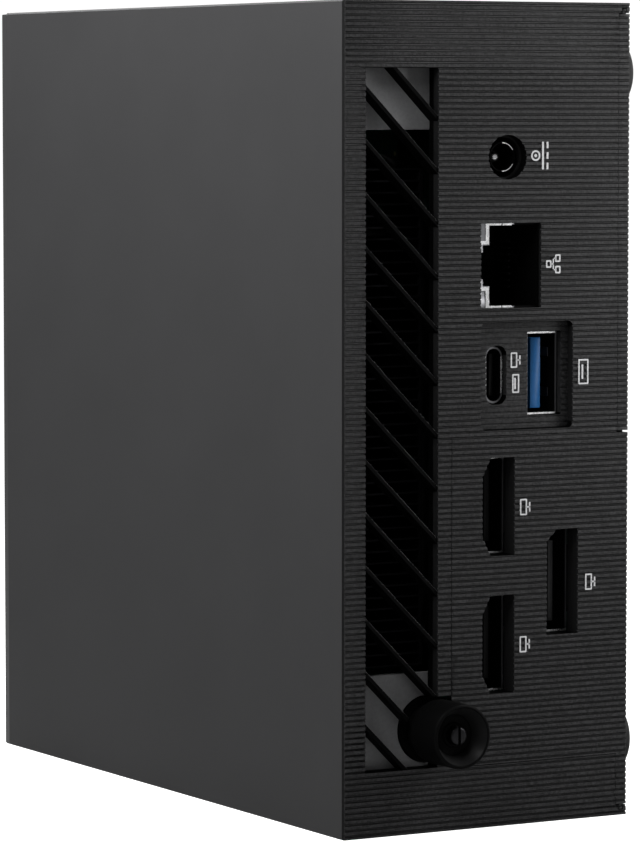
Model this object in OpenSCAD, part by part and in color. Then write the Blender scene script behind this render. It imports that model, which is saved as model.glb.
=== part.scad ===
// Mini PC, standing on one of its narrow sides.
// +X is the outward normal of the smooth top cover and -X of the feet.
// +Y is the outward normal of the rear face with the ports, -Y of the front.
// +Z is up. The origin is the centre of the side that the case stands on.
// On the rear face, "u" is the distance from the top cover's outer face
// and "v" is the distance down from the upper side.

/* [Case] */
// Width of the case, upright in this pose (Z)
case_w = 130; // [130:0.5:132]
// Depth of the case from front to rear (Y)
case_d = 121; // [121:0.5:123]
// Thickness of the case without its feet (X)
case_h = 52.6; // [52.6:0.1:53]
// Wall thickness of the moulded shell
wall = 1.6; // [1.5:0.05:1.7]
// Thickness of the front panel
front_t = 1.8; // [1.6:0.1:1.9]
// Thickness of the sliding bottom cover
cover_t = 2; // [1.8:0.1:2]
// Height of the rubber feet
foot_h = 5.4; // [3:0.1:7]

/* [Vent] */
// Vertical pitch of the diagonal blades
blade_pitch = 8.25; // [7:0.25:10]
// Thickness of a blade
blade_t = 0.6; // [0.5:0.1:1.2]
// Depth of a blade behind the rear face
blade_depth = 2.7; // [2.5:0.1:2.8]

/* [Thumbscrew] */
// Radius of the knob
knob_r = 5.1; // [5:0.1:5.2]
// How far the knob stands out of the rear face
knob_out = 7.9; // [5:0.1:10]
// Radius of the dish in the knob's end
dish_r = 4.5; // [3.2:0.1:4.6]
// Depth of the dish in the knob's end
dish_depth = 3; // [1.5:0.1:4]
// Radius of the screw's shank
shank_r = 1.5; // [1.4:0.05:1.5]
// Radial running clearance of the shank in its bracket
shank_gap = 0.06; // [0.03:0.01:0.1]

/* [Fan] */
// Radius of the blower's impeller
impeller_r = 26; // [22:1:27]
// Number of impeller blades
impeller_blades = 31; // [17:2:37]
// Number of cooling fins
fin_count = 44; // [20:2:50]

/* [Mounting] */
// Spacing of the four bracket holes in the bottom cover
bracket_spacing = 75; // [60:1:80]
// Radius of each threaded bracket hole (M4 thread core)
bracket_hole_r = 1.65; // [1.2:0.05:2]

/* [Hidden] */
$fn = 64;

gap = 0.1;
edge = 0.3;
hx = case_h / 2;
hy = case_d / 2;
back_in = hy - wall;
front_in = -hy + front_t;
cover_in = -hx + cover_t;
top_in = hx - wall;

// Rear face layout, in u and v
vent_u = [4.1, 17.2];
vent_v = [10.4, 119.8];
vent_top_blank_v = 20;
vent_low_blank_v = 105;
tongue_u = 19.65;
tongue_v = [68, 120.1];
knob_uv = [17, 114];
dc_uv = [29.85, 24.3];
rj45_u = [25, 36.1];
rj45_v = [34.6, 48];
plate_u = [25, 42.1];
plate_v = [50.2, 67.2];
plate_drop = 1.4;
usb_c_uv = [28.7, 58.6];
usb_a_uv = [37.6, 58.5];
hdmi_u = [25.4, 31.3];
hdmi_v = [79.25, 101.1];
hdmi_len = 15.5;
dp_u = [37.4, 43.2];
dp_v = [83.3, 100.1];

// Depths of the things behind the rear face
blank_y = [hy - 4.1, hy - 2.9];
port_mouth_y = hy - 3.2;
usb_mouth_y = hy - 2.3;
knob_clear_r = knob_r + 0.3;
washer_t = 0.8;
web_u = [22.8, 24];
bracket_len = 10;

// Motherboard, parallel to the top cover
board_x = [1.9, 3.5];
board_y = [-55.5, 55.3];
board_z = [4, 126];
pillar_y = [-50, 38];
pillar_z = 9;

// Front port layout
front_x = -1.25;
front_usb_a_z = [36, 55];
front_usb_c_z = 73;
audio_z = 87;
led_z = 99;
button_z = 112;
button_r = 5.4;
button_travel = 0.6;

// Blower
fan_y = 12;
fan_z = 65;
fan_x = [8, 21.4];
fan_half = 29;
fan_wall = 0.8;
fin_x = [9.5, 22];
fin_y = [45.6, 56.2];
fin_z = [26, 104];
pipe_x = [6.9, 9.4];
pipe_w = 8;

// Memory, solid-state drive and 2.5 inch drive
mem_y = -38;
mem_z = [28, 102];
mem_slot_z = [30.2, 99.8];
mem_x = [-1.2, -6.4];
mem_step = 6;
ssd_y = [0, 22];
ssd_z = [18, 98];
drive_x = [-22.4, -15.4];
drive_y = [-44, 26];
drive_z = [15, 115];

function ux(u) = hx - u;
function vz(v) = case_w - v;

// A box given by its lowest and highest corner
module span(lo, hi) {
    translate(lo) cube(hi - lo);
}

// A box on the rear face's layout, from y0 to y1
module rear_span(u, v, y0, y1) {
    span([ux(u[1]), y0, vz(v[1])], [ux(u[0]), y1, vz(v[0])]);
}

// Extrudes an x-z outline along Y
module along_y(y0, y1) {
    translate([0, y1, 0]) rotate([90, 0, 0]) linear_extrude(y1 - y0) children();
}

// Extrudes a y-z outline along X
module along_x(x0, x1) {
    translate([x0, 0, 0]) rotate([90, 0, 90]) linear_extrude(x1 - x0) children();
}

// A rod along +Y that starts at p
module rod_y(p, r, len) {
    translate(p) rotate([-90, 0, 0]) cylinder(h = len, r = r);
}

// A rod along +X that starts at p
module rod_x(p, r, len) {
    translate(p) rotate([0, 90, 0]) cylinder(h = len, r = r);
}

// A 2D rectangle with round corners, made of squares and circles only
module round_rect(w, h, r) {
    square([w - 2 * r, h], center = true);
    square([w, h - 2 * r], center = true);
    for (i = [-1, 1], j = [-1, 1]) translate([i * (w / 2 - r), j * (h / 2 - r)]) circle(r = r);
}

// Opening of an HDMI socket: the wide side faces the feet
module hdmi_outline(grow = 0) {
    w = (hdmi_u[1] - hdmi_u[0]) / 2 + grow;
    h = hdmi_len / 2 + grow;
    c = 1.5;
    polygon([[-w, -h], [w - c, -h], [w, -h + 2 * c], [w, h - 2 * c], [w - c, h], [-w, h]]);
}

// Opening of a DisplayPort socket: one corner is cut off
module dp_outline(grow = 0) {
    w = (dp_u[1] - dp_u[0]) / 2 + grow;
    h = (dp_v[1] - dp_v[0]) / 2 + grow;
    c = 1.9;
    polygon([[-w, -h], [w, -h], [w, h - c], [w - c, h], [-w, h]]);
}

// Moves a 2D outline to a place on the rear face
module at_uv(u, v) {
    translate([ux(u), vz(v)]) children();
}

module hdmi_places() {
    for (v = hdmi_v) at_uv((hdmi_u[0] + hdmi_u[1]) / 2, v) children();
}

module dp_place() {
    at_uv((dp_u[0] + dp_u[1]) / 2, (dp_v[0] + dp_v[1]) / 2) children();
}

// Slot for the knob and the ear of the bottom cover, open towards the cover
module knob_slot(r) {
    at_uv(knob_uv[0], knob_uv[1]) {
        circle(r = r);
        translate([-10, -r]) square([10, 2 * r]);
    }
}

module side_vents() {
    slots = 15;
    slot_pitch = 4;
    for (i = [0 : slots - 1])
        translate([12, (i - (slots - 1) / 2) * slot_pitch])
            round_rect(16, 1.6, 0.79);
}

module top_shell() {
    color([0.16, 0.16, 0.17]) difference() {
        // Top plate, side walls and rear wall, with small bevels round the top
        intersection() {
            span([-hx, front_in, 0], [hx, hy, case_w]);
            along_y(-hy, hy)
                polygon([[-hx, 0], [hx - edge, 0], [hx, edge], [hx, case_w - edge],
                         [hx - edge, case_w], [-hx, case_w]]);
            linear_extrude(case_w)
                polygon([[-hx, -hy], [hx, -hy], [hx, hy - edge], [hx - edge, hy], [-hx, hy]]);
        }
        // Room inside; pillars are added again below
        span([cover_in + 0.05, front_in - 1, wall], [top_in, back_in, case_w - wall]);
        // Path of the bottom cover, open to the rear
        span([-hx - 1, front_in - 1, wall], [cover_in + 0.05, hy + 1, case_w - wall]);
        // Grooves that guide the cover's long edges
        for (s = [0, 1])
            translate([0, 0, s * case_w]) mirror([0, 0, s])
                span([-hx + 0.55, front_in - 1, 0.8], [-hx + 1.45, hy + 1, wall + 0.1]);
        // Vent, ports, and the bottom cover's rear tongue
        rear_span(vent_u, vent_v, back_in - 1, hy + 1);
        along_y(back_in - 1, hy + 1) knob_slot(knob_clear_r);
        rear_span([tongue_u, case_h + 1], tongue_v, back_in - 1, hy + 1);
        along_y(back_in - 1, hy + 1) at_uv(dc_uv[0], dc_uv[1]) circle(r = 3.5);
        rear_span(rj45_u, rj45_v, back_in - 1, hy + 1);
        along_y(back_in - 1, hy + 1)
            at_uv((plate_u[0] + plate_u[1]) / 2, (plate_v[0] + plate_v[1]) / 2)
                round_rect(plate_u[1] - plate_u[0], plate_v[1] - plate_v[0], 1);
        // Side vents and the lock slot
        for (z = [-1, case_w - wall - 1])
            translate([0, 0, z]) linear_extrude(wall + 2) side_vents();
        translate([-12, 46, case_w - wall - 1]) linear_extrude(wall + 2) round_rect(3, 7, 0.5);
    }
    // Pillars that hold the motherboard
    color([0.16, 0.16, 0.17])
        for (y = pillar_y, z = [pillar_z, case_w - pillar_z])
            difference() {
                rod_x([board_x[1], y, z], 3, top_in - board_x[1]);
                rod_x([board_x[1] - 1, y, z], 1.2, 9);
            }
}

module front_panel() {
    color([0.12, 0.12, 0.13]) difference() {
        intersection() {
            span([-hx, -hy, 0], [hx, front_in, case_w]);
            along_y(-hy, hy)
                polygon([[-hx, 0], [hx - edge, 0], [hx, edge], [hx, case_w - edge],
                         [hx - edge, case_w], [-hx, case_w]]);
            linear_extrude(case_w)
                polygon([[-hx, hy], [hx, hy], [hx, -hy + edge], [hx - edge, -hy],
                         [-hx + edge, -hy], [-hx, -hy + edge]]);
        }
        for (z = front_usb_a_z)
            along_y(-hy - 1, front_in + 1) translate([front_x, z]) round_rect(6.1, 13.5, 0.4);
        along_y(-hy - 1, front_in + 1) translate([front_x, front_usb_c_z]) round_rect(3.6, 9.3, 1.79);
        rod_y([front_x, -hy - 1, audio_z], 3.1, front_t + 2);
        rod_y([front_x, -hy - 1, led_z], 0.8, front_t + 2);
        rod_y([front_x, -hy - 1, button_z], button_r + 0.2, front_t + 2);
    }
}

module usb_port_plate() {
    y1 = hy - plate_drop;
    y0 = y1 - 1.2;
    color([0.1, 0.1, 0.11]) difference() {
        union() {
            // Plate inside the window, and its flange behind the wall
            along_y(y0, y1)
                at_uv((plate_u[0] + plate_u[1]) / 2, (plate_v[0] + plate_v[1]) / 2)
                    round_rect(plate_u[1] - plate_u[0], plate_v[1] - plate_v[0], 1);
            rear_span([plate_u[0], plate_u[1] + 1.2], [plate_v[0] - 0.8, plate_v[1] + 0.7],
                y0, back_in);
        }
        along_y(y0 - 1, y1 + 1) at_uv(usb_c_uv[0], usb_c_uv[1]) round_rect(3.75, 9.3, 1.5);
        along_y(y0 - 1, y1 + 1) at_uv(usb_a_uv[0], usb_a_uv[1]) round_rect(6.3, 13.35, 0.3);
    }
}

// Outline of the diagonal blades inside the vent: they come down towards the feet
module blade_outline() {
    w = vent_u[1] - vent_u[0];
    first = 17.8;
    count = 13;
    intersection() {
        translate([ux(vent_u[1]), vz(vent_v[1])]) square([w, vent_v[1] - vent_v[0]]);
        for (i = [-1 : count])
            at_uv(vent_u[1], first + i * blade_pitch)
                rotate(45) translate([-w * 1.6, -blade_t]) square([w * 3.2, blade_t]);
    }
}

module vent_grille() {
    rim = 1;
    y0 = hy - 2.9;
    color([0.08, 0.08, 0.085]) difference() {
        union() {
            // Frame behind the wall
            along_y(y0, back_in) difference() {
                translate([ux(vent_u[1] + rim), vz(vent_v[1] + rim)])
                    square([vent_u[1] - vent_u[0] + 2 * rim, vent_v[1] - vent_v[0] + 2 * rim]);
                translate([ux(vent_u[1]), vz(vent_v[1])])
                    square([vent_u[1] - vent_u[0], vent_v[1] - vent_v[0]]);
            }
            along_y(y0, y0 + blade_depth) blade_outline();
        }
        along_y(y0 - 1, hy + 1) knob_slot(knob_clear_r);
    }
}

module vent_blanks() {
    color([0.25, 0.25, 0.26]) {
        rear_span([vent_u[0] - 1, vent_u[1] + 1], [vent_v[0] - 1, vent_top_blank_v],
            blank_y[0], blank_y[1]);
        difference() {
            rear_span([vent_u[0] - 1, vent_u[1] + 1], [vent_low_blank_v, vent_v[1] + 1],
                blank_y[0], blank_y[1]);
            along_y(blank_y[0] - 1, blank_y[1] + 1) knob_slot(knob_clear_r);
        }
    }
}

module bottom_cover() {
    side = wall + 0.15;
    notch = 0.35;
    collar_t = 0.8;
    color([0.13, 0.13, 0.14]) difference() {
        union() {
            span([-hx, front_in + gap, side], [cover_in, hy, case_w - side]);
            // Long edges that run in the shell's grooves
            span([-hx + 0.7, front_in + gap, 0.95], [-hx + 1.3, hy, case_w - 0.95]);
            // Rear tongue with the video ports
            rear_span([tongue_u + gap, case_h], [tongue_v[0] + gap, tongue_v[1] - gap],
                back_in, hy);
            // Ear for the thumbscrew, one step behind the tongue
            along_y(blank_y[0], blank_y[1]) at_uv(knob_uv[0], knob_uv[1]) {
                circle(r = knob_r);
                translate([knob_uv[0] - web_u[1], -4]) square([web_u[1] - knob_uv[0], 8]);
            }
            rear_span(web_u, [knob_uv[1] - 4, knob_uv[1] + 4], blank_y[0], hy - 0.5);
            // Collars round the video ports, which reach the sockets' mouths
            along_y(port_mouth_y + gap, back_in) {
                hdmi_places() hdmi_outline(collar_t);
                dp_place() dp_outline(collar_t);
            }
        }
        // Room for the knob in front of the ear
        rod_y([ux(knob_uv[0]), blank_y[1], vz(knob_uv[1])], knob_clear_r, 10);
        rod_y([ux(knob_uv[0]), blank_y[0] - 1, vz(knob_uv[1])], shank_r + 0.2, 5);
        along_y(port_mouth_y, hy + 1) hdmi_places() hdmi_outline();
        along_y(port_mouth_y, hy + 1) dp_place() dp_outline();
        // Relief cut where the tongue's upper seam meets the feet side
        span([-hx - 1, hy - 1.5, vz(tongue_v[0]) - notch], [cover_in, hy + 1, vz(tongue_v[0])]);
        // Threaded holes for a monitor or wall bracket
        for (i = [-1, 1], j = [-1, 1])
            rod_x([-hx - 1, i * bracket_spacing / 2, case_w / 2 + j * bracket_spacing / 2],
                bracket_hole_r, cover_t + 2);
    }
}

module rubber_feet() {
    foot_r = 6;
    foot_y = hy - 12.2;
    foot_z = 11;
    color([0.05, 0.05, 0.05])
        for (y = [-foot_y, foot_y], z = [foot_z, case_w - foot_z])
            translate([-hx - foot_h, y, z]) rotate([0, 90, 0])
                rotate_extrude()
                    polygon([[0, 0], [foot_r - 1.2, 0], [foot_r - 0.6, 0.3], [foot_r - 0.2, 0.9],
                             [foot_r, foot_h], [0, foot_h]]);
}

module thumbscrew_knob() {
    y0 = blank_y[1] + washer_t;
    len = hy + knob_out - y0;
    neck_r = knob_r - 0.9;
    dish_floor_r = dish_r - 1.4;
    color([0.06, 0.06, 0.06]) translate([ux(knob_uv[0]), y0, vz(knob_uv[1])])
        rotate([-90, 0, 0]) rotate_extrude()
            polygon([[shank_r, 0], [neck_r, 0], [neck_r, 2], [knob_r, 2.6],
                     [knob_r, len - edge], [knob_r - edge, len], [dish_r + 0.1, len],
                     [dish_r, len - 0.1], [dish_floor_r, len - dish_depth], [shank_r, len - dish_depth]]);
}

// The shank's slotted end stands up inside the knob's dish
module thumbscrew_shank() {
    y0 = blank_y[0] - bracket_len;
    y1 = hy + knob_out - 1;
    slot_w = 0.5;
    slot_depth = 0.7;
    color([0.45, 0.45, 0.46]) difference() {
        rod_y([ux(knob_uv[0]), y0, vz(knob_uv[1])], shank_r, y1 - y0);
        span([ux(knob_uv[0]) - slot_w / 2, y1 - slot_depth, vz(knob_uv[1]) - shank_r - 1],
            [ux(knob_uv[0]) + slot_w / 2, y1 + 1, vz(knob_uv[1]) + shank_r + 1]);
    }
}

module thumbscrew_washer() {
    washer_r = 3.9;
    color([0.4, 0.4, 0.41]) difference() {
        rod_y([ux(knob_uv[0]), blank_y[1], vz(knob_uv[1])], washer_r, washer_t);
        rod_y([ux(knob_uv[0]), blank_y[1] - 1, vz(knob_uv[1])], shank_r + shank_gap, 3);
    }
}

// Block on the lower side wall that the shank screws into
module screw_bracket() {
    x = ux(knob_uv[0]);
    z = vz(knob_uv[1]);
    half_w = 4.5;
    color([0.5, 0.5, 0.5]) difference() {
        span([x - half_w, blank_y[0] - bracket_len, wall], [x + half_w, blank_y[0] - 0.3, z + half_w]);
        rod_y([x, blank_y[0] - bracket_len - 1, z], shank_r + shank_gap, bracket_len + 2);
    }
}

module power_button() {
    color([0.2, 0.2, 0.21]) {
        rod_y([front_x, -hy + 0.1, button_z], button_r, front_t);
        rod_y([front_x, front_in + 0.1, button_z], button_r + 0.9, 0.8);
        rod_y([front_x, front_in + 0.9, button_z], 1.5, 1.5);
    }
}

module power_switch() {
    y0 = front_in + 2.4 + button_travel + 0.1;
    color([0.3, 0.3, 0.31]) {
        span([front_x - 3, y0 + 0.6, button_z - 3], [board_x[0], y0 + 3.6, button_z + 3]);
        rod_y([front_x, y0, button_z], 1.6, 0.6);
    }
}

module light_pipe() {
    color([0.9, 0.95, 1]) {
        rod_y([front_x, -hy, led_z], 0.8, 6);
        span([front_x - 1, -hy + 6, led_z - 1], [board_x[0], -hy + 8, led_z + 1]);
    }
}

module dc_jack_body() {
    x = ux(dc_uv[0]);
    z = vz(dc_uv[1]);
    color([0.05, 0.05, 0.05]) difference() {
        span([x - 4.6, back_in - 14, z - 4.6], [board_x[0], back_in, z + 4.6]);
        rod_y([x, back_in - 11, z], 3.15, 12);
    }
}

module dc_jack_pin() {
    x = ux(dc_uv[0]);
    z = vz(dc_uv[1]);
    color([0.8, 0.8, 0.8]) {
        rod_y([x, back_in - 11, z], 1, 8.2);
        translate([x, back_in - 2.8, z]) sphere(r = 1);
    }
}

// Socket shield with a stepped channel for the plug's latch on its +X side
module rj45_shield() {
    mid_v = (rj45_v[0] + rj45_v[1]) / 2;
    lip = 0.3;
    color([0.75, 0.75, 0.76]) difference() {
        union() {
            rear_span([hx - board_x[0], rj45_u[1] + 0.9], [mid_v - 8, mid_v + 8], back_in - 21, back_in);
            rear_span([rj45_u[0] + 0.05, rj45_u[1] - 0.05], [rj45_v[0] + 0.05, rj45_v[1] - 0.05],
                back_in, hy - 0.7);
        }
        rear_span([rj45_u[0] + 1.9, rj45_u[1] - lip], [rj45_v[0] + lip, rj45_v[1] - lip],
            back_in - 20.5, hy + 1);
        rear_span([rj45_u[0] + 0.7, rj45_u[0] + 2], [mid_v - 3.2, mid_v + 3.2], back_in - 20.5, hy + 1);
        rear_span([rj45_u[0] + lip, rj45_u[0] + 1], [mid_v - 2.1, mid_v + 2.1], back_in - 20.5, hy + 1);
    }
}

module rj45_insert() {
    mid_v = (rj45_v[0] + rj45_v[1]) / 2;
    color([0.04, 0.04, 0.04])
        rear_span([rj45_u[0] + 1.9, rj45_u[1] - 0.3], [rj45_v[0] + 0.3, rj45_v[1] - 0.3],
            back_in - 20.5, back_in - 12);
    color([0.8, 0.65, 0.3])
        for (i = [-3.5 : 3.5])
            rear_span([rj45_u[1] - 2.6, rj45_u[1] - 2.2],
                [mid_v + i * 1.02 - 0.15, mid_v + i * 1.02 + 0.15], back_in - 12, back_in - 4);
}

// USB-C receptacle shell, mouth at y = 0 towards +Y
module usb_c_shell() {
    along_y(-9, 0) difference() {
        round_rect(3.26, 8.94, 1.62);
        round_rect(2.66, 8.34, 1.32);
    }
    along_y(-9.4, -9) round_rect(3.26, 8.94, 1.62);
}

module usb_c_tongue() {
    along_y(-9, -6) round_rect(2.66, 8.34, 1.32);
    span([-0.35, -6, -3.3], [0.35, -0.8, 3.3]);
}

// USB-A receptacle shell, mouth at y = 0 towards +Y
module usb_a_shell() {
    along_y(-14, 0) difference() {
        square([5.72, 13.1], center = true);
        square([5.12, 12.5], center = true);
    }
    along_y(-14.4, -14) square([5.72, 13.1], center = true);
}

// The tongue lies nearer to the wall on its +X side
module usb_a_tongue() {
    span([-2.56, -14, -6.25], [2.56, -9.5, 6.25]);
    span([-0.12, -9.5, -5.6], [1.72, -0.5, 5.6]);
}

module at_rear_port(uv, y) {
    translate([ux(uv[0]), y, vz(uv[1])]) children();
}

module rear_usb_c_shell() {
    color([0.6, 0.6, 0.6]) {
        at_rear_port(usb_c_uv, usb_mouth_y) usb_c_shell();
        rear_span([hx - board_x[0], usb_c_uv[0] - 1.63], [usb_c_uv[1] - 3, usb_c_uv[1] + 3],
            usb_mouth_y - 9.4, usb_mouth_y - 4);
    }
}

module rear_usb_c_tongue() {
    color([0.05, 0.05, 0.05]) at_rear_port(usb_c_uv, usb_mouth_y) usb_c_tongue();
}

module rear_usb_a_shell() {
    color([0.7, 0.7, 0.7]) {
        at_rear_port(usb_a_uv, usb_mouth_y) usb_a_shell();
        rear_span([usb_c_uv[0] + 1.63, usb_a_uv[0] - 2.86], [usb_c_uv[1] - 4, usb_c_uv[1] + 4],
            usb_mouth_y - 14.4, usb_mouth_y - 3);
    }
}

module rear_usb_a_tongue() {
    color([0.1, 0.35, 0.75]) at_rear_port(usb_a_uv, usb_mouth_y) usb_a_tongue();
}

module hdmi_shells() {
    wall_t = 0.3;
    color([0.3, 0.3, 0.3]) {
        along_y(port_mouth_y - 10, port_mouth_y) hdmi_places() difference() {
            hdmi_outline(-0.1);
            hdmi_outline(-0.1 - wall_t);
        }
        along_y(port_mouth_y - 10.5, port_mouth_y - 10) hdmi_places() hdmi_outline(-0.1);
        for (v = hdmi_v)
            rear_span([hx - board_x[0], hdmi_u[0] + 0.1], [v - 5, v + 5],
                port_mouth_y - 10.5, port_mouth_y - 1);
    }
}

module hdmi_tongues() {
    mid_u = (hdmi_u[0] + hdmi_u[1]) / 2;
    color([0.03, 0.03, 0.03]) {
        along_y(port_mouth_y - 10, port_mouth_y - 8) hdmi_places() hdmi_outline(-0.4);
        for (v = hdmi_v)
            rear_span([mid_u - 0.4, mid_u + 0.5], [v - 5.8, v + 5.8], port_mouth_y - 8, port_mouth_y - 0.6);
    }
}

module displayport_shell() {
    wall_t = 0.3;
    color([0.3, 0.3, 0.3]) {
        along_y(port_mouth_y - 10, port_mouth_y) dp_place() difference() {
            dp_outline(-0.1);
            dp_outline(-0.1 - wall_t);
        }
        along_y(port_mouth_y - 10.5, port_mouth_y - 10) dp_place() dp_outline(-0.1);
        rear_span([dp_u[1] - 0.1, dp_u[1] + 0.8], [dp_v[0] + 3, dp_v[1] - 3],
            port_mouth_y - 10.5, port_mouth_y - 1);
    }
}

module displayport_tongue() {
    mid_u = (dp_u[0] + dp_u[1]) / 2;
    color([0.03, 0.03, 0.03]) {
        along_y(port_mouth_y - 10, port_mouth_y - 8) dp_place() dp_outline(-0.4);
        rear_span([mid_u - 0.2, mid_u + 0.7], [dp_v[0] + 2.2, dp_v[1] - 1.7],
            port_mouth_y - 8, port_mouth_y - 0.8);
    }
}

// Small board that carries the DisplayPort socket, with its plug to the motherboard
module display_board() {
    u0 = dp_u[1] + 0.8;
    color([0.1, 0.3, 0.2]) {
        rear_span([u0, u0 + 1.2], [dp_v[0] - 4, dp_v[1] + 14], port_mouth_y - 20, port_mouth_y - 1);
        rear_span([hx - board_x[0], u0], [dp_v[1] + 9, dp_v[1] + 12], port_mouth_y - 19, port_mouth_y - 5);
    }
}

module front_usb_a_shells() {
    color([0.7, 0.7, 0.7]) for (z = front_usb_a_z) {
        translate([front_x, -hy + 0.8, z]) mirror([0, 1, 0]) usb_a_shell();
        span([front_x + 2.86, -hy + 4, z - 5], [board_x[0], -hy + 15, z + 5]);
    }
}

module front_usb_a_tongues() {
    color([0.1, 0.35, 0.75])
        for (z = front_usb_a_z) translate([front_x, -hy + 0.8, z]) mirror([0, 1, 0]) usb_a_tongue();
}

module front_usb_c_shell() {
    color([0.6, 0.6, 0.6]) {
        translate([front_x, -hy + 0.8, front_usb_c_z]) mirror([0, 1, 0]) usb_c_shell();
        span([front_x + 1.63, -hy + 4, front_usb_c_z - 3], [board_x[0], -hy + 10, front_usb_c_z + 3]);
    }
}

module front_usb_c_tongue() {
    color([0.05, 0.05, 0.05])
        translate([front_x, -hy + 0.8, front_usb_c_z]) mirror([0, 1, 0]) usb_c_tongue();
}

module audio_jack() {
    color([0.04, 0.04, 0.04]) difference() {
        union() {
            rod_y([front_x, -hy + 0.5, audio_z], 3, 2);
            span([front_x - 3.1, front_in + 0.1, audio_z - 3.2], [board_x[0], -hy + 15, audio_z + 3.2]);
        }
        rod_y([front_x, -hy, audio_z], 1.8, 13);
    }
}

module motherboard() {
    color([0.05, 0.22, 0.15]) difference() {
        span([board_x[0], board_y[0], board_z[0]], [board_x[1], board_y[1], board_z[1]]);
        for (y = pillar_y, z = [pillar_z, case_w - pillar_z])
            rod_x([board_x[0] - 1, y, z], 1.6, 4);
    }
}

module board_screws() {
    color([0.75, 0.75, 0.76])
        for (y = pillar_y, z = [pillar_z, case_w - pillar_z]) {
            rod_x([board_x[0] - 1.5, y, z], 2.8, 1.5);
            rod_x([board_x[0], y, z], 1.2, 6);
        }
}

module cpu_package() {
    color([0.2, 0.25, 0.2]) {
        span([board_x[1], -46, 48], [board_x[1] + 1, -21, 82]);
        span([board_x[1] + 1, -38, 58], [board_x[1] + 1.5, -28, 73]);
    }
}

module thermal_pad() {
    color([0.7, 0.7, 0.7]) span([board_x[1] + 1.5, -38, 58], [board_x[1] + 1.7, -28, 73]);
}

module cold_plate() {
    color([0.75, 0.42, 0.25]) span([board_x[1] + 1.7, -47, 45], [pipe_x[0], -19, 85]);
}

// One half-loop from the cold plate round the fan and along the fins
module pipe_path() {
    bend = 10;
    inner = bend - pipe_w / 2;
    outer = bend + pipe_w / 2;
    y_in = -33;
    z_run = 28;
    y_fin = 50.9;
    // straight from the cold plate down to the first bend
    translate([y_in - pipe_w / 2, z_run + bend]) square([pipe_w, 27]);
    // first bend
    translate([y_in + bend, z_run + bend]) intersection() {
        difference() {
            circle(r = outer);
            circle(r = inner);
        }
        translate([-outer, -outer]) square([outer, outer]);
    }
    translate([y_in + bend, z_run - pipe_w / 2]) square([y_fin - y_in - 2 * bend, pipe_w]);
    // second bend
    translate([y_fin - bend, z_run + bend]) intersection() {
        difference() {
            circle(r = outer);
            circle(r = inner);
        }
        translate([0, -outer]) square([outer, outer]);
    }
    translate([y_fin - pipe_w / 2, z_run + bend]) square([pipe_w, 26]);
}

module heat_pipes() {
    color([0.8, 0.45, 0.28]) along_x(pipe_x[0], pipe_x[1])
        for (s = [0, 1]) translate([0, s * case_w]) mirror([0, s]) pipe_path();
}

module fin_stack() {
    fin_t = 0.3;
    pitch = (fin_z[1] - fin_z[0] - fin_t) / (fin_count - 1);
    color([0.72, 0.72, 0.73]) {
        span([fin_x[0] - 0.1, fin_y[0], fin_z[0]], [fin_x[0] + 0.5, fin_y[1], fin_z[1]]);
        span([fin_x[1] - 0.5, fin_y[0], fin_z[0]], [fin_x[1], fin_y[1], fin_z[1]]);
        for (i = [0 : fin_count - 1])
            span([fin_x[0], fin_y[0], fin_z[0] + i * pitch], [fin_x[1], fin_y[1], fin_z[0] + i * pitch + fin_t]);
    }
}

// Outline of the blower, round towards the front and open towards the fins
module fan_outline(r) {
    translate([fan_y, fan_z]) circle(r = r);
    translate([fan_y, fan_z - r]) square([fin_y[0] - 0.1 - fan_y, 2 * r]);
}

module fan_housing() {
    color([0.07, 0.07, 0.08]) difference() {
        along_x(fan_x[0], fan_x[1] - fan_wall) fan_outline(fan_half);
        difference() {
            along_x(fan_x[0] + fan_wall, fan_x[1]) {
                translate([fan_y, fan_z]) circle(r = fan_half - fan_wall);
                translate([fan_y, fan_z - fan_half + fan_wall])
                    square([fin_y[0] + 1 - fan_y, 2 * (fan_half - fan_wall)]);
            }
            // Bearing tube
            rod_x([fan_x[0], fan_y, fan_z], 3, 7);
        }
        rod_x([fan_x[0] + 0.5, fan_y, fan_z], 1.05, 12);
    }
}

module fan_cover() {
    color([0.09, 0.09, 0.1]) along_x(fan_x[1] - fan_wall, fan_x[1]) difference() {
        fan_outline(fan_half);
        translate([fan_y, fan_z]) circle(r = 18);
    }
}

module fan_stator() {
    color([0.7, 0.4, 0.2]) difference() {
        rod_x([fan_x[0] + fan_wall, fan_y, fan_z], 7, 5);
        rod_x([fan_x[0], fan_y, fan_z], 3, 8);
    }
}

module fan_shaft() {
    color([0.8, 0.8, 0.8]) rod_x([fan_x[0] + 0.7, fan_y, fan_z], 1, 10);
}

module fan_impeller() {
    x0 = fan_x[0] + 1.6;
    x1 = fan_x[1] - 1.6;
    hub_r = 9;
    color([0.1, 0.1, 0.1]) {
        translate([0, fan_y, fan_z]) rotate([0, 90, 0]) rotate_extrude()
            polygon([[1, x1 - 2.5], [8, x1 - 2.5], [8, x0], [hub_r, x0], [hub_r, x1], [1, x1]]);
        for (i = [0 : impeller_blades - 1])
            translate([0, fan_y, fan_z]) rotate([i * 360 / impeller_blades, 0, 0])
                translate([x0 + 0.4, hub_r - 0.4, 0]) rotate([-28, 0, 0])
                    cube([x1 - x0 - 0.8, impeller_r - hub_r - 1, 0.6]);
        // Ring that ties the blade tips together
        translate([0, fan_y, fan_z]) rotate([0, 90, 0]) rotate_extrude()
            polygon([[impeller_r - 3, x0 + 3], [impeller_r - 1.6, x0 + 3],
                     [impeller_r - 1.6, x0 + 3.8], [impeller_r - 3, x0 + 3.8]]);
    }
}

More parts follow.
